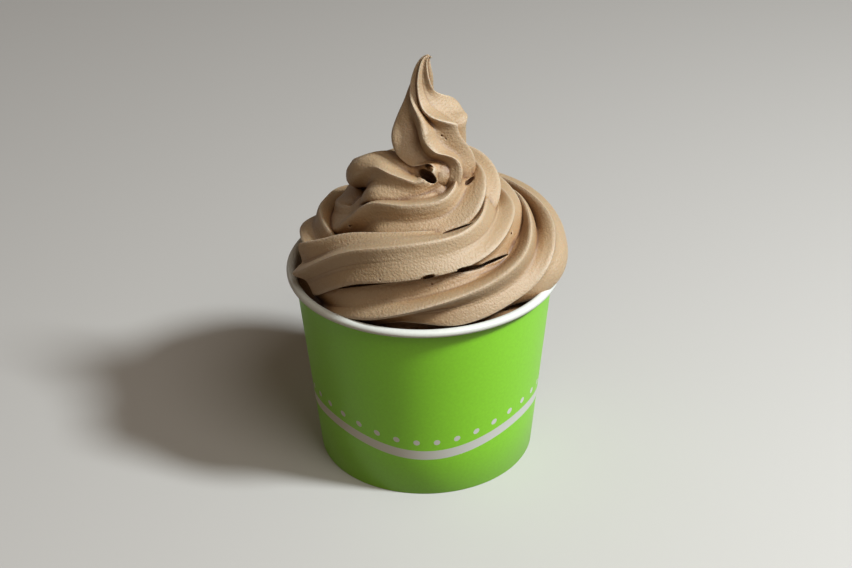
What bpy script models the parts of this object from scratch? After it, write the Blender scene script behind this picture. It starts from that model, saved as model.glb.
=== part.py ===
"""A paper dessert cup filled with chocolate custard, piped as a tall swirl with a star nozzle.

The origin is the middle of the cup's foot, on the table, with +Z up and the front of the cup at -Y.
Lengths are in metres. The swirl's route is written in millimetres above the rim and turned into
metres where it is used, because a cook would measure it from the rim.
"""

import math

import bmesh
import bpy
from mathutils import Vector

MM = 0.001
ROUND_STEPS = 48  # flat sides round the cup
GAP = 0.3 * MM  # left between pieces that touch
SAME_POINT = 0.01 * MM  # points this close are one
SHARP_ANGLE = 40  # degrees between two faces, from which their edge looks sharp

# The paper cup
CUP_HEIGHT = 85 * MM
FOOT_RADIUS = 44.5 * MM
MOUTH_RADIUS = 53.0 * MM  # outside of the wall, level with the rim's top
PAPER = 0.6 * MM
BEAD_WIDTH = 3.6 * MM  # the rolled rim, across
BEAD_HEIGHT = 3.2 * MM
BEAD_STEPS = 9
BEAD_START, BEAD_END = -120, 180  # degrees round the bead, from its underside to the wall's inside
FOOT_RECESS = 7 * MM  # underside of the bottom disc above the table
FOLD_LAYERS = 2  # of paper inside the wall at the foot: the disc's skirt and the wall's own fold
CLEARANCE_REACH = 1.3 * MOUTH_RADIUS  # of the room cut for the cup, past everything outside it

# The custard
FILL_LEVEL = -5 * MM  # of the custard at the cup's wall, from the rim
# The custard below and inside the coils: (radius, height above the rim), in millimetres
CORE_OUTLINE = ((47, 0.5), (43, 8), (38, 16), (35, 22), (22, 32), (9, 41), (0, 42))
RIDGES = 6  # of the star nozzle
RIDGE_DEPTH = 0.24  # of the rope's radius, from a ridge's crest to its valley
RIDGE_ROUNDING = 0.16  # 0 is a knife edge
RING_POINTS = 24
ROPE_STEP = 4.4 * MM  # between the rings of a rope
BALL_STEPS = 12
BALL_PLACE = (0.5 * MM, -7 * MM, 47.5 * MM)  # of the ball that fills the fold's inside, from the rim
BALL_RADIUS = 7.8 * MM
SLANT = 3 * MM  # how far the rope's cut start leans
STIFFNESS = 7 * MM  # of rope each way, over which the star's lean is taken in a bend
COIL_SPACING = 7.5  # degrees round the cup between the points that a coil's route is read at

# The coil that fills the cup's mouth, from its buried start, counter-clockwise from above:
# (angle round the cup in degrees, distance from the cup's axis, height above the rim,
#  rope radius, turn of the star in degrees), lengths in millimetres
OUTER_COIL = (
    (-160, 37, -8, 12, -20),
    (-120, 41, 1, 12.8, -14),
    (-90, 42.5, 6, 13, -3),
    (-45, 43, 10.3, 13.4, 14),
    (-15, 44, 12, 14, -4),
    (20, 42.5, 12, 14, -3),
    (60, 41.5, 9, 13.8, 0),
    (90, 41, 8, 13.6, -12),
    (150, 38.6, 8.5, 12.3, -38),
    (185, 38.3, 11, 12, -24),
    (235, 36, 6, 12, 28),
)
OUTER_COIL_FIRST_RIDGE = -106  # degrees

# The rope that starts at the front left, over the rim, and winds inwards and up
UPPER_COILS = (
    (-160, 45, 6, 11.5, -38),
    (-127, 40.8, 18.4, 12.4, -34),
    (-100, 38.7, 23, 12.6, -17),
    (-62, 36, 24, 12.5, 8),
    (-30, 30.5, 24, 12.5, 14),
    (20, 25.5, 22.5, 12.8, 0),
    (90, 26.5, 19, 12.8, -15),
    (160, 26, 17, 12.9, -34),
    (200, 24.6, 18.5, 13, -42),
    (220, 23.6, 25, 13.2, -42),
    (236, 22.8, 30.5, 13.3, -42),
    (262, 22.5, 32.5, 13.4, -17),
    (290, 22, 33, 13.5, 3),
    (325, 20.3, 34.8, 13.2, -8),
    (370, 18, 35, 12.3, -25),
    (470, 18, 33.5, 12, -42),
    (500, 18, 34.5, 12.2, -44),
    (540, 17.5, 37, 12.3, -42),
    (570, 15.2, 39.4, 12.5, -58),
    (600, 13, 41, 12.5, -22),
    (625, 12.2, 41.4, 12.5, 2),
)
UPPER_FIRST_RIDGE = -66

# The same rope doubling back and being pulled up to the tip:
# (x, y, height above the rim, rope radius, turn of the star)
PEAK = (
    (4.5, -12, 42.2, 12.4, 4),
    (8, -10.5, 44.3, 12.3, 5),
    (9, -8.2, 47.8, 12.3, 1),
    (6.6, -6, 52, 13, -20),
    (3.6, -4.2, 56.6, 14.2, -27),
    (2.4, -2.4, 61.5, 14.8, -34),
    (1.2, -1, 66.5, 11.8, -47),
    (0.4, -0.3, 72, 7.4, -64),
    (0.2, 0, 77, 5.4, -84),
    (0.6, 0, 81.5, 4.4, -104),
    (1.4, 0, 86, 3.2, -122),
    (2.3, 0, 89.4, 1.7, -136),
    (3.4, 0, 90.6, 0.9, -140),
    (4.3, 0, 89.8, 0.4, -142),
)

# Colour and roughness of each material
GREEN_PAPER = ((0.20, 0.47, 0.03), 0.45)
WHITE_PAPER = ((0.80, 0.80, 0.74), 0.55)
CUSTARD_SURFACE = ((0.40, 0.26, 0.14), 0.5)


def start_empty():
    for item in list(bpy.data.objects):
        bpy.data.objects.remove(item, do_unlink=True)


def plain_material(name, look):
    colour, roughness = look
    material = bpy.data.materials.new(name)
    material.use_nodes = True
    shader = material.node_tree.nodes["Principled BSDF"]
    shader.inputs["Base Color"].default_value = (*colour, 1)
    shader.inputs["Roughness"].default_value = roughness
    shader.inputs["Metallic"].default_value = 0
    return material


def finished(name, shape, material):
    """An object made from a bmesh, with its faces pointing out and its round surfaces smooth."""
    bmesh.ops.remove_doubles(shape, verts=shape.verts, dist=SAME_POINT)
    bmesh.ops.recalc_face_normals(shape, faces=shape.faces)
    mesh = bpy.data.meshes.new(name)
    shape.to_mesh(mesh)
    shape.free()
    mesh.shade_smooth()
    mesh.set_sharp_from_angle(angle=math.radians(SHARP_ANGLE))
    mesh.materials.append(material)
    made = bpy.data.objects.new(name, mesh)
    bpy.context.scene.collection.objects.link(made)
    return made


def as_helper(body):
    """The body as one that only shapes another: it isn't a piece of its own."""
    body.hide_render = True
    body.display_type = "WIRE"
    return body


def turned(name, profile, closed, material):
    """A solid of revolution about the cup's axis from (radius, height) points."""
    shape = bmesh.new()
    points = [shape.verts.new((radius, 0, height)) for radius, height in profile]
    pairs = list(zip(points, points[1:]))
    if closed:
        pairs.append((points[-1], points[0]))
    edges = [shape.edges.new(pair) for pair in pairs]
    bmesh.ops.spin(
        shape, geom=points + edges, cent=(0, 0, 0), axis=(0, 0, 1),
        angle=math.tau, steps=ROUND_STEPS, use_merge=True,
    )
    return finished(name, shape, material)


# ---------------------------------------------------------------- the cup


def wall_outside(height):
    return FOOT_RADIUS + (MOUTH_RADIUS - FOOT_RADIUS) * height / CUP_HEIGHT


def wall_inside(height):
    return wall_outside(height) - PAPER


def bead_outline():
    """The rolled rim, from where it meets the wall's outside, over the top, to the wall's inside."""
    middle = Vector((wall_inside(CUP_HEIGHT) + BEAD_WIDTH / 2, CUP_HEIGHT - BEAD_HEIGHT / 2))
    first, last = math.radians(BEAD_START), math.radians(BEAD_END)
    points = []
    for step in range(BEAD_STEPS + 1):
        angle = first + (last - first) * step / BEAD_STEPS
        points.append((
            middle.x + BEAD_WIDTH / 2 * math.cos(angle),
            middle.y + BEAD_HEIGHT / 2 * math.sin(angle),
        ))
    return points


def make_wall():
    """The side wall, rolled over at the rim and folded back up inside at the foot."""
    fold_top = FOOT_RECESS - GAP
    profile = [(wall_outside(0), 0)]
    profile += bead_outline()
    profile += [
        (wall_inside(fold_top), fold_top),
        (wall_inside(fold_top) - FOLD_LAYERS * PAPER, fold_top),
        (wall_inside(0) - FOLD_LAYERS * PAPER, 0),
    ]
    return turned("cup_wall", profile, True, plain_material("green_paper", GREEN_PAPER))


def make_base():
    """The bottom disc, raised above the table by the wall's fold."""
    under, top = FOOT_RECESS, FOOT_RECESS + PAPER
    profile = [
        (0, top),
        (wall_inside(top) - GAP, top),
        (wall_inside(under) - GAP, under),
        (0, under),
    ]
    return turned("cup_base", profile, False, plain_material("white_paper", WHITE_PAPER))


# ---------------------------------------------------------------- the rope


def between(rows, key):
    """The row at this key, on a smooth curve through rows that start with their own keys."""
    last = len(rows) - 1
    left = max(i for i in range(last) if rows[i][0] <= key or i == 0)
    right = left + 1

    def slope(i):
        before, after = rows[max(i - 1, 0)], rows[min(i + 1, last)]
        return [(b - a) / (after[0] - before[0]) for a, b in zip(before[1:], after[1:])]

    span = rows[right][0] - rows[left][0]
    u = (key - rows[left][0]) / span
    start_weight, end_weight = 2 * u**3 - 3 * u**2 + 1, 3 * u**2 - 2 * u**3
    leave_weight, arrive_weight = (u**3 - 2 * u**2 + u) * span, (u**3 - u**2) * span
    return [
        start_weight * a + end_weight * b + leave_weight * s + arrive_weight * e
        for a, b, s, e in zip(rows[left][1:], rows[right][1:], slope(left), slope(right))
    ]


def coil_points(rows):
    """(x, y, z, radius, turn) along a coil, in metres and degrees."""
    count = round((rows[-1][0] - rows[0][0]) / COIL_SPACING)
    points = []
    for i in range(count + 1):
        angle = rows[0][0] + (rows[-1][0] - rows[0][0]) * i / count
        out, up, radius, turn = between(rows, angle)
        x = out * math.cos(math.radians(angle))
        y = out * math.sin(math.radians(angle))
        points.append((x * MM, y * MM, CUP_HEIGHT + up * MM, radius * MM, turn))
    return points


def peak_points():
    return [(x * MM, y * MM, CUP_HEIGHT + z * MM, r * MM, turn) for x, y, z, r, turn in PEAK]


def evenly_spaced(points, step):
    """The same route with its points a step apart."""
    travelled, keyed = 0.0, []
    for i, point in enumerate(points):
        if i:
            travelled += (Vector(point[:3]) - Vector(points[i - 1][:3])).length
        keyed.append((travelled, *point))
    count = max(2, round(travelled / step))
    return [between(keyed, travelled * i / count) for i in range(count + 1)]


def star_radius(angle):
    """The star's outline, 1 at the crests, with a hollow curve between them."""
    across = math.sin(RIDGES * angle / 2)
    hollow = math.sqrt(across**2 + RIDGE_ROUNDING**2) - RIDGE_ROUNDING
    deepest = math.sqrt(1 + RIDGE_ROUNDING**2) - RIDGE_ROUNDING
    return 1 - RIDGE_DEPTH * hollow / deepest


def ring_places(route, i, first_ridge, slant=0.0):
    """Where the points of ring i of a rope go. The star keeps its own heading, as under a nozzle."""
    reach = max(1, round(STIFFNESS / ROPE_STEP))
    before, after = route[max(i - reach, 0)], route[min(i + reach, len(route) - 1)]
    ahead = (Vector(after[:3]) - Vector(before[:3])).normalized()
    swing = Vector((0, 0, 1)).rotation_difference(ahead)
    middle, radius, turn = Vector(route[i][:3]), route[i][3], route[i][4]
    places = []
    for k in range(RING_POINTS):
        angle = math.tau * k / RING_POINTS
        heading = angle + math.radians(first_ridge + turn)
        spoke = swing @ Vector((math.cos(heading), math.sin(heading), 0))
        place = middle + spoke * radius * star_radius(angle)
        lean = slant * (place.z - middle.z) / radius
        places.append(place - ahead * lean)
    return places


def rope(name, rings, material):
    """A closed body through the rings, with a cap at each end. The custard joins it to itself."""
    shape = bmesh.new()
    made = bmesh.ops.create_circle(shape, cap_ends=False, segments=RING_POINTS, radius=1)
    points = made["verts"]
    edges = list(shape.edges)
    for point, place in zip(points, rings[0]):
        point.co = place
    first_edges = edges
    for places in rings[1:]:
        grown = bmesh.ops.extrude_edge_only(shape, edges=edges)["geom"]
        new_edges = [item for item in grown if isinstance(item, bmesh.types.BMEdge)]
        new_points = [item for item in grown if isinstance(item, bmesh.types.BMVert)]
        follows = {}
        for point in new_points:
            for edge in point.link_edges:
                other = edge.other_vert(point)
                if other in points:
                    follows[other] = point
        points = [follows[point] for point in points]
        for point, place in zip(points, places):
            point.co = place
        edges = [edge for edge in new_edges if all(v in new_points for v in edge.verts)]
    bmesh.ops.contextual_create(shape, geom=first_edges)
    bmesh.ops.contextual_create(shape, geom=edges)
    return as_helper(finished(name, shape, material))


def fold_ball(material):
    """What fills the inside of the fold, where the rope doubles back."""
    shape = bmesh.new()
    bmesh.ops.create_uvsphere(
        shape, u_segments=BALL_STEPS, v_segments=BALL_STEPS // 2, radius=BALL_RADIUS
    )
    middle = Vector(BALL_PLACE) + Vector((0, 0, CUP_HEIGHT))
    bmesh.ops.translate(shape, vec=middle, verts=shape.verts)
    return as_helper(finished("fold_ball", shape, material))


def make_ropes(material):
    outer = evenly_spaced(coil_points(OUTER_COIL), ROPE_STEP)
    outer_rings = [ring_places(outer, i, OUTER_COIL_FIRST_RIDGE) for i in range(len(outer))]
    upper = evenly_spaced(coil_points(UPPER_COILS) + peak_points(), ROPE_STEP)
    upper_rings = [
        ring_places(upper, i, UPPER_FIRST_RIDGE, SLANT if i == 0 else 0.0)
        for i in range(len(upper))
    ]
    return [
        rope("outer_coil", outer_rings, material),
        rope("upper_rope", upper_rings, material),
    ]


# ---------------------------------------------------------------- the custard


def make_core(material):
    """The custard below the coils and in their middle."""
    floor = FOOT_RECESS + PAPER + GAP
    level = CUP_HEIGHT + FILL_LEVEL
    profile = [
        (0, floor),
        (wall_inside(floor) - GAP, floor),
        (wall_inside(level) - GAP, level),
    ]
    profile += [(out * MM, CUP_HEIGHT + up * MM) for out, up in CORE_OUTLINE]
    return turned("custard", profile, False, material)


def make_cup_clearance(material):
    """The room that the cup's wall and rim need, which the custard must leave."""
    mouth, top = wall_inside(CUP_HEIGHT) - GAP, CUP_HEIGHT + GAP
    profile = [
        (wall_inside(0) - GAP, 0),
        (mouth, CUP_HEIGHT),
        (mouth, top),
        (CLEARANCE_REACH, top),
        (CLEARANCE_REACH, 0),
    ]
    return as_helper(turned("cup_clearance", profile, True, material))


def make_custard():
    material = plain_material("custard_surface", CUSTARD_SURFACE)
    custard = make_core(material)
    for piece in [fold_ball(material), *make_ropes(material)]:
        join = custard.modifiers.new("join " + piece.name, "BOOLEAN")
        join.operation = "UNION"
        join.use_self = True
        join.object = piece
    cut = custard.modifiers.new("leave room for the cup", "BOOLEAN")
    cut.operation = "DIFFERENCE"
    cut.object = make_cup_clearance(material)
    return custard


start_empty()
make_wall()
make_base()
make_custard()
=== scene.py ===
import math

import bmesh
import bpy
from mathutils import Matrix, Vector, noise


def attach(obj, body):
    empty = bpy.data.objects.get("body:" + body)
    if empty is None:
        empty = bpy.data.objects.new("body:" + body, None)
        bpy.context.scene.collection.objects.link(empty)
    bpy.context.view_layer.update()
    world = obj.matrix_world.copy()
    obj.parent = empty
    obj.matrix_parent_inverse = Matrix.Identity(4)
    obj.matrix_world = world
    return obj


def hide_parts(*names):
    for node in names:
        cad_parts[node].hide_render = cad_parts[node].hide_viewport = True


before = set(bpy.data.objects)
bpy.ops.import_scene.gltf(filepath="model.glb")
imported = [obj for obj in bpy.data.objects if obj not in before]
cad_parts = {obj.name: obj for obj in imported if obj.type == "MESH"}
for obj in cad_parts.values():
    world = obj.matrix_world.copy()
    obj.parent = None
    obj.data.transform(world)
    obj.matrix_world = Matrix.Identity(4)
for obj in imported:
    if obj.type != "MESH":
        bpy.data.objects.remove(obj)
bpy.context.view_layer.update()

# A paper dessert cup of chocolate custard, piped as a tall swirl with a star nozzle. It stands on the
# origin, with the swirl's tip up along +Z and the viewer at -Y. Angles are in degrees where they are
# named values, and angles round the cup start at +X and run counter-clockwise, seen from above.

MM = 0.001

# The paper cup
CUP_HEIGHT = 85 * MM
FOOT_RADIUS = 44.5 * MM
MOUTH_RADIUS = 53 * MM
PAPER = 0.6 * MM
LINING = 0.2 * MM  # of that, the white board inside the printed side
CUP_STEPS = 192
WALL_RINGS = (20 * MM, 40 * MM, 60 * MM)  # heights of the side's points between its foot and its top
SEAM_WIDTH = 8 * MM  # where the wall laps over itself, at the back
SEAM_STEP = 0.35 * MM

# Its foot
FOOT_RECESS = 7 * MM
FOOT_FOLD = 2 * PAPER
FOOT_EDGE_WIDTH = 0.2 * MM
FOOT_EDGE_HEIGHT = 0.4 * MM

# Its rolled rim
BEAD_WIDTH = 3.6 * MM
BEAD_HEIGHT = 3.2 * MM
BEAD_START = -150  # from its outermost point: it starts at its underside, by the wall
BEAD_SWEEP = 330
BEAD_STEPS = 27
RIM_TAIL = 5 * MM  # how far below the rim's top its paper ends, inside the wall
WALL_TOP = CUP_HEIGHT - 0.6 * BEAD_HEIGHT  # the wall ends inside the bead

# The print on its side, plain white on green
BOARD_WHITE = (0.65, 0.66, 0.61)
PRINT_GREEN = (0.26, 0.67, 0.02)
FIBRE_SHADE = 0.93  # how bright the paper's darker specks are
STRIPE_HEIGHT = 24.2 * MM
STRIPE_SWING = 3.5 * MM
STRIPE_WAVES = 3
STRIPE_WIDTH = 4.5 * MM
DOTS = 36
DOT_SIZE = 2.6 * MM
DOT_RISE = 6.5 * MM  # from the stripe's middle
DOTS_RADIUS = 1.06 * FOOT_RADIUS  # about the cup's radius where the dots are

# The custard's colours
CUSTARD = (0.415, 0.295, 0.176)
CUSTARD_BLOTCH = (0.38, 0.264, 0.15)
CUSTARD_SPECK = (0.2, 0.1, 0.04)
# painted highlight: a paler colour on the ridges' crests, where the light catches them
CUSTARD_CREST_HIGHLIGHT = (0.47, 0.365, 0.25)
# painted shade: a darker colour down in the creases, where shade falls
CUSTARD_CREASE_SHADE = (0.14, 0.062, 0.024)
# painted shade: darker where anything near keeps light out, and darkest down in the gaps
CUSTARD_SHADED = (0.31, 0.158, 0.052)
CUSTARD_GAP_SHADE = (0.09, 0.042, 0.016)
SPECK_STRENGTH = 0.12
SHADE_REACH = 10 * MM  # how near anything has to be to shade it

# The custard inside its ropes
FILL_LEVEL = -8 * MM  # where it meets the wall, from the rim's top
CUP_GAP = 0.2 * MM
# (distance from the axis, height above the rim), in mm
CORE_OUTLINE = ((43.5, -6), (39.5, 3), (37.5, 14), (35, 22), (22, 32), (9, 41), (0, 42))

# The custard's rope, as it leaves a star nozzle
RIDGES = 6
RIDGE_DEPTH = 0.33  # as a share of the rope's radius
RIDGE_ROUNDING = 0.12  # 0 is a knife edge
LOBE_REACH = 42  # degrees round the rope, each way
RING_POINTS = 144
ROPE_STEP = 1.15 * MM
COIL_SPACING = 7.5  # degrees round the cup between the points that a coil's curve goes through
STIFFNESS = 7 * MM  # how far back and ahead the rope's direction is taken

# The torn end that a rope starts with, cut at a slant
FOOT_CUT = 5.5 * MM  # how far its foot is drawn in along the rope
TOP_CUT = 0.55 * MM  # how far its top is
END_REACH = 15 * MM  # how much of the rope the slant takes up
TORN = 0.8 * MM  # how rough it is
TORN_PACE = 3  # how fast that roughness changes round the rope

# Noises on the rope's skin: (pace round the rope, pace along it for each metre, height)
DRAG_LINES = (13, 14, 0.2 * MM)
FINE_LINES = (34, 22, 0.13 * MM)
SWELLING = (1.7, 55, 0.55 * MM)
LINE_PATCHES = (1.6, 30, 1)  # where the lines are stronger
PATCH_LIFT = 0.2  # makes those patches larger
FAINTEST = 0.4  # strength of the lines outside them
FULL_SKIN = 8 * MM  # rope radius below which the skin's noises fade

# How the meshes are cleaned and shaded
SAME_POINT = 0.005 * MM  # points nearer than this are merged in each shape
SHORTEST_EDGE = 0.05 * MM  # and nearer than this in the joined custard
SMOOTH_ANGLE = 40  # an edge that bends more than this is sharp
CREASE_ANGLE = 30  # a fold between two coils that bends more than this is sharp
RIDGE_MARK = "ridge"
MARK_SMOOTHING = 2  # how often each mark is averaged with its neighbours'

# The curve of each coil, in mm:
# (angle round the cup, distance from its axis, height above the rim, rope radius, turn of the star)
OUTER_COIL = (
    (-160, 37, -8, 12, -20),
    (-120, 41, 1, 12.8, -14),
    (-90, 42.5, 6, 13, -3),
    (-45, 43, 10.3, 13.4, 14),
    (-15, 44, 12, 14, -4),
    (20, 42.5, 12, 14, -3),
    (60, 41.5, 9, 13.8, 0),
    (90, 41, 8, 13.6, -12),
    (150, 38.6, 8.5, 12.3, -38),
    (185, 38.3, 11, 12, -24),
    (235, 36, 6, 12, 28),
)
UPPER_COILS = (
    (-160, 45, 6, 11.5, -26),
    (-127, 40.8, 18.4, 12.4, -34),
    (-100, 38.7, 23, 12.6, -17),
    (-62, 36, 24, 12.5, 8),
    (-30, 30.5, 24, 12.5, 14),
    (20, 25.5, 22.5, 12.8, 0),
    (90, 26.5, 19, 12.8, -15),
    (160, 26, 17, 12.9, -34),
    (200, 24.6, 18.5, 13, -42),
    (220, 23.6, 25, 13.2, -42),
    (236, 22.8, 30.5, 13.3, -42),
    (262, 22.5, 32.5, 13.4, -17),
    (290, 22, 33, 13.5, 3),
    (325, 20.3, 34.8, 13.2, -8),
    (370, 18, 35, 12.3, -25),
    (470, 18, 33.5, 12, -42),
    (500, 18, 34.5, 12.2, -44),
    (540, 17.5, 37, 12.3, -42),
    (570, 15.2, 39.4, 12.5, -58),
    (600, 13, 41, 12.5, -22),
    (625, 12.2, 41.4, 12.5, 2),
)
# The curve of the peak, which the upper coils run into, in mm:
# (x, y, height above the rim, rope radius, turn of the star)
PEAK = (
    (4.5, -12, 42.2, 12.4, 4),
    (8, -10.5, 44.3, 12.3, 5),
    (9, -8.2, 47.8, 12.3, 1),
    (6.6, -6, 52, 13, -20),
    (3.6, -4.2, 56.6, 14.2, -27),
    (2.4, -2.4, 61.5, 14.8, -34),
    (1.2, -1, 66.5, 11.8, -47),
    (0.4, -0.3, 72, 7.4, -64),
    (0.2, 0, 77, 5.4, -84),
    (0.6, 0, 81.5, 4.4, -104),
    (1.4, 0, 86, 3.2, -122),
    (2.3, 0, 89.4, 1.7, -136),
    (3.4, 0, 90.6, 0.9, -140),
    (4.3, 0, 89.8, 0.4, -142),
)
PEAK_KEY = 1000  # added to a height on the peak, so that it can't be taken for an angle on the coils

# Where one ridge stands off the star:
# (ridge, start, middle, end, mm outwards, degrees round the rope)
# A ridge of 4.5 is the valley between ridges 4 and 5. Start, middle and end are angles round the cup
# on the coils, and PEAK_KEY + height above the rim on the peak.
OUTER_LOBES = (
    (0, -165, -135, -108, 0, -15),
    (0.55, -128, -93, -64, -3, 0),
    (1.2, -150, -104, -74, -6.5, 0),
    (5.5, -160, -128, -105, 2, 0),
    (5.5, -112, -94, -76, -1.2, 0),
    (5.3, -74, -48, -20, -3, 0),
    (2, -50, -24, 2, 3, 0),
    (0.65, -45, -5, 40, -3.4, 0),
    (1, -45, -5, 40, 1.8, 0),
    (0, -30, 25, 70, 0, 24),
    (1, -45, 15, 55, 0, -22),
)
UPPER_LOBES = (
    (4, -180, -158, -138, 1.5, 0),
    (5.5, -145, -105, -55, 2.9, 0),
    (4.5, -145, -105, -55, 2.4, 0),
    (4, -142, -102, -62, -2.6, 0),
    (4, -105, -60, -10, -3.7, 0),
    (4.5, -80, -40, 5, 3.6, 0),
    (0, -35, 0, 30, -2, 0),
    (0, 270, 305, 345, 1.8, 0),
    (3, 440, 495, 550, -3.5, 0),
    (5.7, 535, 590, 1040, 3.2, 0),
    (4, 112, 170, 238, -2.6, 0),
    (4.5, 110, 168, 245, 3.8, 0),
    (3.5, 105, 160, 220, 3.8, 0),
    (4.5, 485, 548, 612, 6.4, 0),
    (4, 490, 545, 600, -1.8, 0),
    (5, 500, 545, 595, -2, 0),
    (5.5, 495, 538, 580, -2.6, 0),
    (4.4, 580, 640, 1041, -4, 0),
    (4.4, 1030, 1043, 1049, -4, 0),
    (2, 1050, 1061, 1074, 1.7, 0),
    (2.45, 1056, 1066, 1076, 1.8, 0),
    (2, 1049, 1056.5, 1063, 0, -14),
    (5, 1050, 1058, 1068, 1.3, 0),
    (5.5, 1051, 1061, 1071, -3.4, 0),
    (2, 1063, 1070.5, 1077, 3.2, 0),
    (0, 1059, 1068.5, 1077, 0, 19),
    (1, 1059, 1071, 1087, 0, -22),
    (2, 1064, 1071, 1080, 0, 22),
)

# Where the ridges are blunter: (start, middle, end, added to RIDGE_ROUNDING)
UPPER_BLUNT = (
    (110, 172, 250, 0.45),
    (440, 530, 590, 0.5),
    (1054, 1063, 1070, 0.32),
)

# Each rope: (angle of its first ridge, lobes, blunt stretches, where its noises start)
OUTER_ROPE = (-106, OUTER_LOBES, (), 1.3)
UPPER_ROPE = (-66, UPPER_LOBES, UPPER_BLUNT, 7.1)

# Rounded lumps, and dark hollows, slits and pits, each about a line from start to end, in mm:
# (start, end, width, how far it goes in), points from the cup's axis and above the rim
GO_IN = (0, 0.86, -0.51)  # backwards and down
LUMPS = (
    ((1, -13.6, 46.3), (13, -13.6, 46.3), 12, 6),
)
HOLLOWS = (
    ((-2, -16, 50.4), (5.2, -20, 46), 4.6, 9),
    ((20.2, -12.8, 44.8), (16.5, -16.8, 42.9), 1.9, 4),
    ((10.4, -47, 22), (24.5, -37, 18.4), 2.4, 7),
    ((20, -39.5, 18.8), (34, -28.5, 18.8), 1.3, 7),
    ((-1.5, -49, 19.9), (4.5, -48.5, 21.2), 1.7, 6),
    ((7, -35.7, 32), (19, -33, 34.9), 0.9, 3),
    ((7.4, -12, 62.4), (8.3, -12, 61.8), 0.8, 1.2),
    ((9.2, -12, 60.9), (9.8, -12, 60.4), 0.7, 1),
    ((-29.2, -20, 27.6), (-28.2, -20, 27.2), 0.8, 1.4),
    ((34.4, -20.3, 23.1), (35.2, -19.7, 23.1), 0.8, 1.4),
    ((2.6, -46.8, 16.2), (3.5, -46.8, 16.2), 0.7, 1.2),
    ((4.6, -47.8, 14.6), (5.3, -47.8, 14.6), 0.6, 1.2),
    ((-17.2, -48.7, 19.5), (-16.5, -48.7, 19.5), 0.6, 1.2),
)

# The studio, in metres: (lamp, place, size, power, colour)
LAMPS = (
    ("key", (0.74, -0.3, 0.9), 0.2, 19, (0.89, 0.96, 1)),
    ("top_fill", (0.35, -0.6, 1.0), 0.6, 4.2, (1, 0.965, 0.9)),
    ("front_fill", (-0.15, -1.15, 0.36), 0.6, 1.0, (1, 0.9, 0.74)),
    ("left_back", (-0.7, 0.75, 0.5), 0.4, 0.5, (0.86, 0.93, 1)),
)
LAMPS_AIM = (0, 0, 0.11)
ROOM_COLOUR = (0.84, 0.57, 0.35)
ROOM_STRENGTH = 0.115
FLOOR_COLOUR = (0.50, 0.48, 0.455)
FLOOR_REACH = 3

# The camera of the photo, whose lens is known in pixels
CAMERA_PLACE = (0, -0.7098, 0.4926)
CAMERA_PITCH = 30.55  # below level
CAMERA_YAW = 0.06
CAMERA_ROLL = -0.92
FOCAL_PIXELS = 2008.5
PHOTO_WIDTH_PIXELS = 852
SENSOR_WIDTH = 36  # in mm, as Blender has it

# The sockets of Blender's Mix node for colours, which share their names with others of its sockets
MIX_INPUTS = (0, 6, 7)  # the factor and the two colours
MIX_RESULT = 2


# ------------------------------------------------------------------ small tools


def add(name, shape, material):
    """An object in the scene from a bmesh, its faces out and its round surfaces smooth."""
    bmesh.ops.remove_doubles(shape, verts=shape.verts, dist=SAME_POINT)
    bmesh.ops.recalc_face_normals(shape, faces=shape.faces)
    mesh = bpy.data.meshes.new(name)
    shape.to_mesh(mesh)
    shape.free()
    mesh.shade_smooth()
    mesh.set_sharp_from_angle(angle=math.radians(SMOOTH_ANGLE))
    if material:
        mesh.materials.append(material)
    made = bpy.data.objects.new(name, mesh)
    bpy.context.scene.collection.objects.link(made)
    return made


def turned(name, profile, material, closed=False):
    """A turned piece from (radius, height) points."""
    shape = bmesh.new()
    points = [shape.verts.new((radius, 0, height)) for radius, height in profile]
    pairs = list(zip(points, points[1:]))
    if closed:
        pairs.append((points[-1], points[0]))
    edges = [shape.edges.new(pair) for pair in pairs]
    bmesh.ops.spin(
        shape, geom=points + edges, cent=(0, 0, 0), axis=(0, 0, 1),
        angle=math.tau, steps=CUP_STEPS, use_merge=True,
    )
    return add(name, shape, material)


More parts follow.
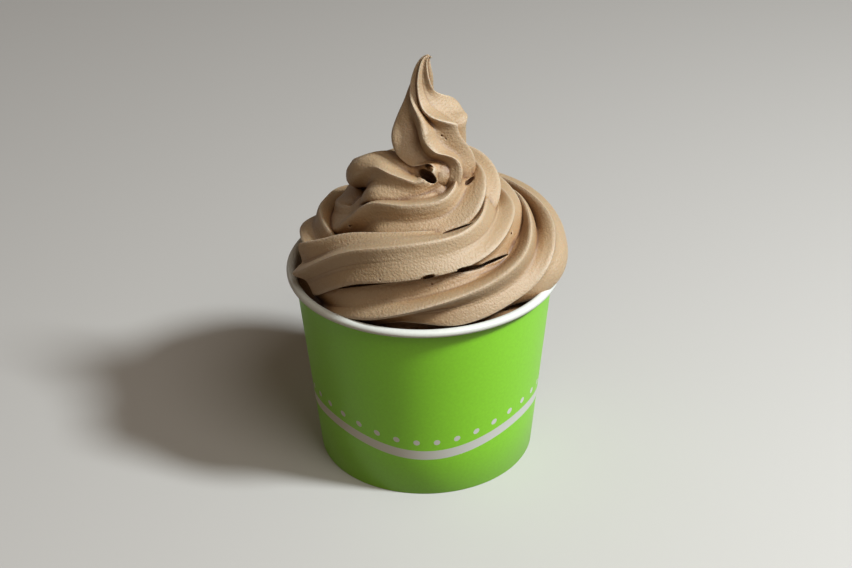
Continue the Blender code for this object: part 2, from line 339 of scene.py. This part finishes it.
class Finish:
    """A material's node tree, with short ways to add nodes to it."""

    def __init__(self, name):
        self.material = bpy.data.materials.new(name)
        self.material.use_nodes = True
        self.tree = self.material.node_tree
        self.shader = self.tree.nodes["Principled BSDF"]
        self.place = self.node("TexCoord").outputs["Object"]

    def node(self, kind, **settings):
        made = self.tree.nodes.new("ShaderNode" + kind)
        for key, value in settings.items():
            setattr(made, key, value)
        return made

    def feed(self, socket, value):
        """Link a socket to another node's output, or give it a number or a colour."""
        if isinstance(value, bpy.types.NodeSocket):
            self.tree.links.new(value, socket)
        elif isinstance(value, tuple):
            socket.default_value = (*value, 1)
        else:
            socket.default_value = value

    def set(self, **values):
        """Set the shader's own values, such as Coat Weight for coat_weight."""
        for key, value in values.items():
            name = key.replace("_", " ").title().replace("Ior", "IOR")
            self.shader.inputs[name].default_value = value

    def cover(self, colour, normal):
        """Give the shader its colour and its relief."""
        self.feed(self.shader.inputs["Base Color"], colour)
        self.feed(self.shader.inputs["Normal"], normal)

    def math(self, operation, *values):
        made = self.node("Math", operation=operation)
        for socket, value in zip(made.inputs, values):
            self.feed(socket, value)
        return made.outputs[0]

    def mix(self, factor, a, b):
        """Colour a where the factor is 0, and colour b where it is 1."""
        made = self.node("Mix", data_type="RGBA")
        for i, value in zip(MIX_INPUTS, (factor, a, b)):
            self.feed(made.inputs[i], value)
        return made.outputs[MIX_RESULT]

    def ramp(self, value, low, high):
        """0 up to low, 1 from high, and even between."""
        made = self.node("MapRange")
        self.feed(made.inputs["Value"], value)
        made.inputs["From Min"].default_value = low
        made.inputs["From Max"].default_value = high
        return made.outputs[0]

    def noise(self, scale, detail):
        made = self.node("TexNoise")
        made.inputs["Scale"].default_value = scale
        made.inputs["Detail"].default_value = detail
        self.feed(made.inputs["Vector"], self.place)
        return made.outputs["Fac"]

    def bump(self, height, strength, distance, over=None):
        """The relief of these heights, on top of another relief if there is one."""
        made = self.node("Bump")
        made.inputs["Strength"].default_value = strength
        made.inputs["Distance"].default_value = distance
        self.feed(made.inputs["Height"], height)
        if over:
            self.feed(made.inputs["Normal"], over)
        return made.outputs["Normal"]


# ------------------------------------------------------------------ the rope's curve


def between(rows, key):
    """The row at this key, on a smooth curve through rows that start with their own keys."""
    last = len(rows) - 1
    left = max(i for i in range(last) if rows[i][0] <= key or i == 0)
    right = left + 1

    def slope(i):
        before, after = rows[max(i - 1, 0)], rows[min(i + 1, last)]
        return [(b - a) / (after[0] - before[0]) for a, b in zip(before[1:], after[1:])]

    span = rows[right][0] - rows[left][0]
    u = (key - rows[left][0]) / span
    start_weight, end_weight = 2 * u**3 - 3 * u**2 + 1, 3 * u**2 - 2 * u**3
    leave_weight, arrive_weight = (u**3 - 2 * u**2 + u) * span, (u**3 - u**2) * span
    return [
        start_weight * a + end_weight * b + leave_weight * s + arrive_weight * e
        for a, b, s, e in zip(rows[left][1:], rows[right][1:], slope(left), slope(right))
    ]


def coil_points(rows):
    """Points along a coil: (x, y, z, rope radius, turn of the star, angle round the cup)."""
    sweep = rows[-1][0] - rows[0][0]
    count = round(sweep / COIL_SPACING)
    points = []
    for i in range(count + 1):
        angle = rows[0][0] + sweep * i / count
        out, up, radius, turn = between(rows, angle)
        x = out * math.cos(math.radians(angle))
        y = out * math.sin(math.radians(angle))
        points.append((x * MM, y * MM, CUP_HEIGHT + up * MM, radius * MM, turn, angle))
    return points


def peak_points():
    """The same for the peak, with PEAK_KEY + height in place of the angle."""
    return [
        (x * MM, y * MM, CUP_HEIGHT + up * MM, radius * MM, turn, PEAK_KEY + up)
        for x, y, up, radius, turn in PEAK
    ]


def evenly_spaced(points):
    """A rope's route: points of the same kind, on a smooth curve and ROPE_STEP apart."""
    travelled, keyed = 0.0, []
    for i, point in enumerate(points):
        if i:
            travelled += (Vector(point[:3]) - Vector(points[i - 1][:3])).length
        keyed.append((travelled, *point))
    count = round(travelled / ROPE_STEP)
    return [between(keyed, travelled * i / count) for i in range(count + 1)]


# ------------------------------------------------------------------ the rope's skin


def star_radius(angle, rounding):
    """The star's radius at an angle, 1 at its ridges."""
    across = math.sin(RIDGES * angle / 2)
    hollow = math.sqrt(across**2 + rounding**2) - rounding
    deepest = math.sqrt(1 + rounding**2) - rounding
    return 1 - RIDGE_DEPTH * hollow / deepest


def rise(key, start, middle, end):
    """0 outside start and end, 1 at the middle, and smooth between."""
    share = (key - start) / (middle - start) if key < middle else (end - key) / (end - middle)
    share = min(max(share, 0.0), 1.0)
    return share * share * (3 - 2 * share)


def lobes_at(rows, key):
    """The lobes here: (degrees round the rope, metres outwards, radians round the rope)."""
    lobes = []
    for ridge, start, middle, end, outwards, sideways in rows:
        strength = rise(key, start, middle, end)
        if strength:
            centre = 360 / RIDGES * ridge
            lobes.append((centre, strength * outwards * MM, strength * math.radians(sideways)))
    return lobes


def off_the_star(angle, lobes):
    """How far these lobes move a point out, in metres, and round the rope, in radians."""
    out = swing = 0.0
    for centre, outwards, sideways in lobes:
        apart = (math.degrees(angle) - centre + 180) % 360 - 180
        if abs(apart) < LOBE_REACH:
            share = math.cos(math.pi / 2 * apart / LOBE_REACH) ** 2
            out += share * outwards
            swing += share * sideways
    return out, swing


def skin_noise(kind, angle, along, shift_x=0.0, shift_y=0.0):
    """One of the noises on the rope's skin, at an angle round it and a distance along it."""
    round_pace, along_pace, height = kind
    x = math.cos(angle) * round_pace + shift_x
    y = math.sin(angle) * round_pace + shift_y
    return height * noise.noise(Vector((x, y, along * along_pace)))


def drag(angle, along, seed):
    """Fine lines that the nozzle drags along the rope, and its slow swelling, in metres."""
    lines = sum(skin_noise(kind, angle, along, shift_x=seed) for kind in (DRAG_LINES, FINE_LINES))
    patch = skin_noise(LINE_PATCHES, angle, along, shift_y=seed)
    swelling = skin_noise(SWELLING, angle, along, shift_x=seed)
    return lines * (FAINTEST + max(0.0, patch + PATCH_LIFT)) + swelling


def ring_places(route, i, rope_kind):
    """The points of the rope's ring at point i of its route."""
    first_ridge, lobe_rows, blunt_rows, seed = rope_kind
    reach = round(STIFFNESS / ROPE_STEP)
    before, after = route[max(i - reach, 0)], route[min(i + reach, len(route) - 1)]
    ahead = (Vector(after[:3]) - Vector(before[:3])).normalized()
    swing = Vector((0, 0, 1)).rotation_difference(ahead)
    middle, radius, turn, key = Vector(route[i][:3]), *route[i][3:]
    lobes = lobes_at(lobe_rows, key)
    rounding = RIDGE_ROUNDING + sum(extra * rise(key, *where) for *where, extra in blunt_rows)
    skin_share = min(1.0, radius / FULL_SKIN)
    end_share = max(0.0, 1 - i * ROPE_STEP / END_REACH) ** 2
    places = []
    for k in range(RING_POINTS):
        angle = math.tau * k / RING_POINTS
        out, sideways = off_the_star(angle, lobes)
        heading = angle + sideways + math.radians(first_ridge + turn)
        spoke = swing @ Vector((math.cos(heading), math.sin(heading), 0))
        skin = skin_share * drag(angle, i * ROPE_STEP, seed)
        place = middle + spoke * (radius * star_radius(angle, rounding) + out + skin)
        if end_share:
            up = (place.z - middle.z) / radius
            drawn_in = TOP_CUT * up if up > 0 else -FOOT_CUT * up
            place += ahead * (drawn_in - TORN * noise.noise(spoke * TORN_PACE)) * end_share
        places.append(place)
    return places


def rope(name, rings):
    """A closed tube through the rings, with a cap at each end."""
    shape = bmesh.new()
    points = bmesh.ops.create_circle(shape, cap_ends=False, segments=RING_POINTS, radius=1)["verts"]
    edges = first_edges = list(shape.edges)
    for point, place in zip(points, rings[0]):
        point.co = place
    for places in rings[1:]:
        grown = bmesh.ops.extrude_edge_only(shape, edges=edges)["geom"]
        new_points = {item for item in grown if isinstance(item, bmesh.types.BMVert)}
        follows = {}
        for point in new_points:
            for edge in point.link_edges:
                other = edge.other_vert(point)
                if other not in new_points:
                    follows[other] = point
        points = [follows[point] for point in points]
        for point, place in zip(points, places):
            point.co = place
        edges = [
            item for item in grown
            if isinstance(item, bmesh.types.BMEdge) and all(v in new_points for v in item.verts)
        ]
    for rim in (first_edges, edges):
        bmesh.ops.contextual_create(shape, geom=rim)
    return add(name, shape, None)


# ------------------------------------------------------------------ joining and shading


def united(base, tool, operation="UNION"):
    """base with tool joined to it, or cut out of it, as one closed body."""
    join = base.modifiers.new("join", "BOOLEAN")
    join.operation = operation
    join.use_self = True
    join.object = tool
    made = bpy.data.meshes.new_from_object(
        base.evaluated_get(bpy.context.evaluated_depsgraph_get())
    )
    base.modifiers.clear()
    base.data = made
    bpy.data.objects.remove(tool)


def rounded_shapes(name, rows):
    """The lumps' or the hollows' shapes, to be joined to the custard or cut out of it."""
    shape = bmesh.new()
    for start, end, width, depth in rows:
        start, end = (Vector((x, y, CUP_HEIGHT / MM + up)) * MM for x, y, up in (start, end))
        along = (end - start) / 2
        inwards = Vector(GO_IN).normalized()
        inwards = (inwards - inwards.project(along)).normalized()
        across = along.cross(inwards).normalized()
        sides = (along, across * width / 2 * MM, inwards * depth * MM)
        place = Matrix(sides).transposed().to_4x4()
        place.translation = (start + end) / 2
        bmesh.ops.create_icosphere(shape, subdivisions=3, radius=1, matrix=place)
    return add(name, shape, None)


def clean_skin(mesh):
    """Rid the joined mesh of many-sided faces and tiny edges, and keep its folds crisp."""
    shape = bmesh.new()
    shape.from_mesh(mesh)
    bmesh.ops.triangulate(shape, faces=[face for face in shape.faces if len(face.verts) > 4])
    bmesh.ops.remove_doubles(shape, verts=shape.verts, dist=SHORTEST_EDGE)
    for face in shape.faces:
        face.smooth = True
    for edge in shape.edges:
        if len(edge.link_faces) == 2 and edge.calc_face_angle_signed() < -math.radians(CREASE_ANGLE):
            edge.smooth = False
    shape.to_mesh(mesh)
    shape.free()


def mark_ridges(mesh):
    """A value on every point: above 0 on a ridge's crest, below 0 down in a crease."""
    shape = bmesh.new()
    shape.from_mesh(mesh)
    bends = []
    for point in shape.verts:
        total = 0.0
        for edge in point.link_edges:
            if len(edge.link_faces) == 2:
                total += edge.calc_face_angle_signed(0.0) * edge.calc_length()
        area = sum(face.calc_area() for face in point.link_faces) or 1.0
        bends.append(max(-1.0, min(1.0, total / area * MM)))
    for _ in range(MARK_SMOOTHING):
        bends = [
            (bends[point.index] + sum(bends[e.other_vert(point).index] for e in point.link_edges))
            / (1 + len(point.link_edges))
            for point in shape.verts
        ]
    shape.free()
    mark = mesh.attributes.new(RIDGE_MARK, "FLOAT", "POINT")
    mark.data.foreach_set("value", bends)


# ------------------------------------------------------------------ finishes


def custard_finish():
    """Custard with a fine grain; its ridges are paler, a painted highlight, and its creases and gaps
    darker, painted shade.
    """
    look = Finish("soft_custard")
    ridge = look.node("Attribute", attribute_name=RIDGE_MARK).outputs["Fac"]
    # painted highlight along the crests
    crest = look.ramp(ridge, low=0.12, high=0.6)
    # painted shade down in the creases
    crease = look.ramp(look.math("MULTIPLY", ridge, -1.0), low=0.08, high=0.6)
    # painted shade, from how much of the surroundings keeps light out
    open_to_light = look.node("AmbientOcclusion", samples=6)
    open_to_light.inputs["Distance"].default_value = SHADE_REACH
    out_of_shade = look.ramp(open_to_light.outputs["AO"], low=0.4, high=0.9)
    out_of_gap_shade = look.ramp(open_to_light.outputs["AO"], low=0.08, high=0.42)
    blotch = look.ramp(look.noise(scale=26, detail=3), low=0.35, high=0.65)
    speck = look.ramp(look.noise(scale=1100, detail=2), low=0.3, high=0.7)
    body = look.mix(blotch, CUSTARD_BLOTCH, CUSTARD)
    body = look.mix(out_of_shade, CUSTARD_SHADED, body)
    body = look.mix(out_of_gap_shade, CUSTARD_GAP_SHADE, body)
    body = look.mix(crest, body, CUSTARD_CREST_HIGHLIGHT)
    body = look.mix(crease, body, CUSTARD_CREASE_SHADE)
    body = look.mix(look.math("MULTIPLY", speck, SPECK_STRENGTH), body, CUSTARD_SPECK)
    grain = look.bump(look.noise(scale=1100, detail=3), strength=0.7, distance=0.5 * MM)
    grain = look.bump(look.noise(scale=140, detail=4), strength=0.3, distance=0.6 * MM, over=grain)
    look.cover(body, grain)
    look.set(
        roughness=0.6, specular_ior_level=0.8, subsurface_weight=0.15,
        subsurface_scale=2 * MM, subsurface_radius=(1.0, 0.45, 0.2),
    )
    return look.material


def white_print(look):
    """1 on the wavy stripe and on the dots above it, 0 elsewhere on the cup's side."""
    place = look.node("SeparateXYZ")
    look.feed(place.inputs[0], look.place)
    x, y, z = place.outputs
    round_cup = look.math("ARCTAN2", x, look.math("MULTIPLY", y, -1.0))
    wave = look.math("COSINE", look.math("MULTIPLY", round_cup, float(STRIPE_WAVES)))
    middle = look.math("MULTIPLY_ADD", wave, -STRIPE_SWING, STRIPE_HEIGHT)
    above = look.math("SUBTRACT", z, middle)
    stripe = look.math("LESS_THAN", look.math("ABSOLUTE", above), STRIPE_WIDTH / 2)
    pace = math.tau / DOTS
    along = look.math("SUBTRACT", look.math("FLOORED_MODULO", round_cup, pace), pace / 2)
    along = look.math("MULTIPLY", along, DOTS_RADIUS)
    up = look.math("SUBTRACT", above, DOT_RISE)
    squares = [look.math("POWER", side, 2.0) for side in (along, up)]
    reach = look.math("SQRT", look.math("ADD", *squares))
    dot = look.math("LESS_THAN", reach, DOT_SIZE / 2)
    return look.math("MAXIMUM", stripe, dot)


def paper_finish(name, colour, printed=None):
    """Coated board with a slight grain, and the print in another colour if one is given."""
    look = Finish(name)
    speck = look.ramp(look.noise(scale=900, detail=2), low=0.3, high=0.7)
    darker = tuple(FIBRE_SHADE * value for value in colour)
    shade = look.mix(speck, darker, colour)
    if printed:
        shade = look.mix(white_print(look), shade, printed)
    grain = look.bump(look.noise(scale=350, detail=3), strength=0.12, distance=0.15 * MM)
    look.cover(shade, grain)
    look.set(roughness=0.42, coat_weight=0.08, coat_roughness=0.25)
    return look.material


# ------------------------------------------------------------------ the cup


def wall_outside(height):
    """The wall's outer radius at a height."""
    return FOOT_RADIUS + (MOUTH_RADIUS - FOOT_RADIUS) * height / CUP_HEIGHT


def wall_inside(height):
    """The wall's inner radius at a height."""
    return wall_outside(height) - PAPER


def lap_over(wall):
    """The side seam at the back, where one edge of the paper lies on the other."""
    for point in wall.data.vertices:
        away = point.co.xy.length
        outside = away > wall_outside(point.co.z) - PAPER / 2
        if outside and point.co.y > 0 and abs(point.co.x) < SEAM_WIDTH / 2:
            point.co.xy *= 1 + SEAM_STEP / away


def make_side(material):
    """The printed outside of the wall."""
    wall = turned("cup_side", [
        (wall_outside(0) - FOOT_EDGE_WIDTH, 0),
        *[(wall_outside(height), height) for height in (FOOT_EDGE_HEIGHT, *WALL_RINGS, WALL_TOP)],
        (wall_inside(WALL_TOP) + LINING, WALL_TOP),
        (wall_inside(0) + LINING, 0),
    ], material, closed=True)
    lap_over(wall)
    return wall


def make_lining(material):
    """The white inside of the wall, with the fold at its foot."""
    return turned("white_lining", [
        (wall_inside(0) + LINING, 0),
        (wall_inside(WALL_TOP) + LINING, WALL_TOP),
        (wall_inside(WALL_TOP), WALL_TOP),
        (wall_inside(FOOT_RECESS), FOOT_RECESS),
        (wall_inside(FOOT_RECESS) - FOOT_FOLD, FOOT_RECESS),
        (wall_inside(0) - FOOT_FOLD, 0),
    ], material, closed=True)


def make_rim(material):
    """The rolled rim: a bead, and the paper that runs down from it inside the wall."""
    middle_out = wall_inside(CUP_HEIGHT) + BEAD_WIDTH / 2
    middle_up = CUP_HEIGHT - BEAD_HEIGHT / 2
    tail = CUP_HEIGHT - RIM_TAIL
    outline = []
    for step in range(BEAD_STEPS + 1):
        angle = math.radians(BEAD_START + BEAD_SWEEP * step / BEAD_STEPS)
        out = middle_out + BEAD_WIDTH / 2 * math.cos(angle)
        up = middle_up + BEAD_HEIGHT / 2 * math.sin(angle)
        outline.append((out, up))
    outline += [(wall_inside(tail), tail), (wall_inside(tail) + LINING, tail)]
    return turned("rolled_rim", outline, material, closed=True)


def make_disc(material):
    """The raised bottom disc."""
    under, over = FOOT_RECESS, FOOT_RECESS + PAPER
    return turned("bottom_disc", [
        (0, over), (wall_inside(over), over), (wall_inside(under), under), (0, under),
    ], material)


def make_cup():
    """The cup's four pieces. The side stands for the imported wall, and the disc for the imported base."""
    white = paper_finish("white_board", BOARD_WHITE)
    green = paper_finish("green_print", PRINT_GREEN, printed=BOARD_WHITE)
    wall = make_side(green)
    board = make_lining(white)
    rim = make_rim(white)
    base = make_disc(white)
    for piece, slot in (
        (wall, "green_paper"), (board, "white_paper"), (rim, "white_paper"), (base, "white_paper")
    ):
        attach(piece, "root")
    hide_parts("cup_wall")
    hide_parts("cup_base")


# ------------------------------------------------------------------ the custard


def make_core(material):
    """The custard in the cup and inside the coils, plain, as it is hidden but for a gap by the rim."""
    floor = FOOT_RECESS + PAPER
    level = CUP_HEIGHT + FILL_LEVEL
    profile = [(0, floor), *[(wall_inside(height) - CUP_GAP, height) for height in (floor, level)]]
    profile += [(out * MM, CUP_HEIGHT + up * MM) for out, up in CORE_OUTLINE]
    return turned("piped_custard", profile, material)


def make_custard():
    """The core and the two ropes joined into one skin, with the lump added and the hollows cut."""
    custard = make_core(custard_finish())
    for name, points, rope_kind in (
        ("outer_coil", coil_points(OUTER_COIL), OUTER_ROPE),
        ("upper_rope", coil_points(UPPER_COILS) + peak_points(), UPPER_ROPE),
    ):
        route = evenly_spaced(points)
        rings = [ring_places(route, i, rope_kind) for i in range(len(route))]
        united(custard, rope(name, rings))
    united(custard, rounded_shapes("lumps", LUMPS))
    united(custard, rounded_shapes("hollows", HOLLOWS), "DIFFERENCE")
    clean_skin(custard.data)
    mark_ridges(custard.data)
    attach(custard, "root")
    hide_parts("custard")


# ------------------------------------------------------------------ the studio


def make_floor():
    """A pale floor, for the picture only."""
    look = Finish("pale_floor")
    look.set(roughness=0.7, base_color=(*FLOOR_COLOUR, 1))
    shape = bmesh.new()
    bmesh.ops.create_grid(shape, x_segments=1, y_segments=1, size=FLOOR_REACH)
    floor = add("floor", shape, look.material)
    floor.visible_diffuse = False  # it doesn't light the cup from below


def make_lamp(name, place, size, power, colour):
    """A round lamp that shines at LAMPS_AIM."""
    light = bpy.data.lights.new(name, "AREA")
    light.shape = "DISK"
    light.size = size
    light.energy = power
    light.color = colour
    made = bpy.data.objects.new(name, light)
    made.location = place
    made.rotation_euler = (Vector(LAMPS_AIM) - Vector(place)).to_track_quat("-Z", "Y").to_euler()
    bpy.context.scene.collection.objects.link(made)


def make_room():
    """The light that comes from all round."""
    world = bpy.data.worlds.new("room")
    world.use_nodes = True
    sky = world.node_tree.nodes["Background"]
    sky.inputs["Color"].default_value = (*ROOM_COLOUR, 1)
    sky.inputs["Strength"].default_value = ROOM_STRENGTH
    bpy.context.scene.world = world
    bpy.context.scene.view_settings.view_transform = "Standard"


def make_camera():
    """The photo's camera."""
    camera = bpy.data.cameras.new("camera")
    camera.sensor_width = SENSOR_WIDTH
    camera.lens = FOCAL_PIXELS * SENSOR_WIDTH / PHOTO_WIDTH_PIXELS
    made = bpy.data.objects.new("camera", camera)
    pitch, yaw, roll = (math.radians(angle) for angle in (CAMERA_PITCH, CAMERA_YAW, CAMERA_ROLL))
    ahead = Vector((
        math.sin(yaw) * math.cos(pitch), math.cos(yaw) * math.cos(pitch), -math.sin(pitch)
    ))
    right = Vector((math.cos(yaw), -math.sin(yaw), 0))
    above = right.cross(ahead)
    side = math.cos(roll) * right + math.sin(roll) * above
    above = math.cos(roll) * above - math.sin(roll) * right
    turn = Matrix((side, above, -ahead)).transposed().to_4x4()
    made.matrix_world = Matrix.Translation(CAMERA_PLACE) @ turn
    bpy.context.scene.collection.objects.link(made)
    bpy.context.scene.camera = made


make_cup()
make_custard()
make_floor()
for lamp in LAMPS:
    make_lamp(*lamp)
make_room()
make_camera()
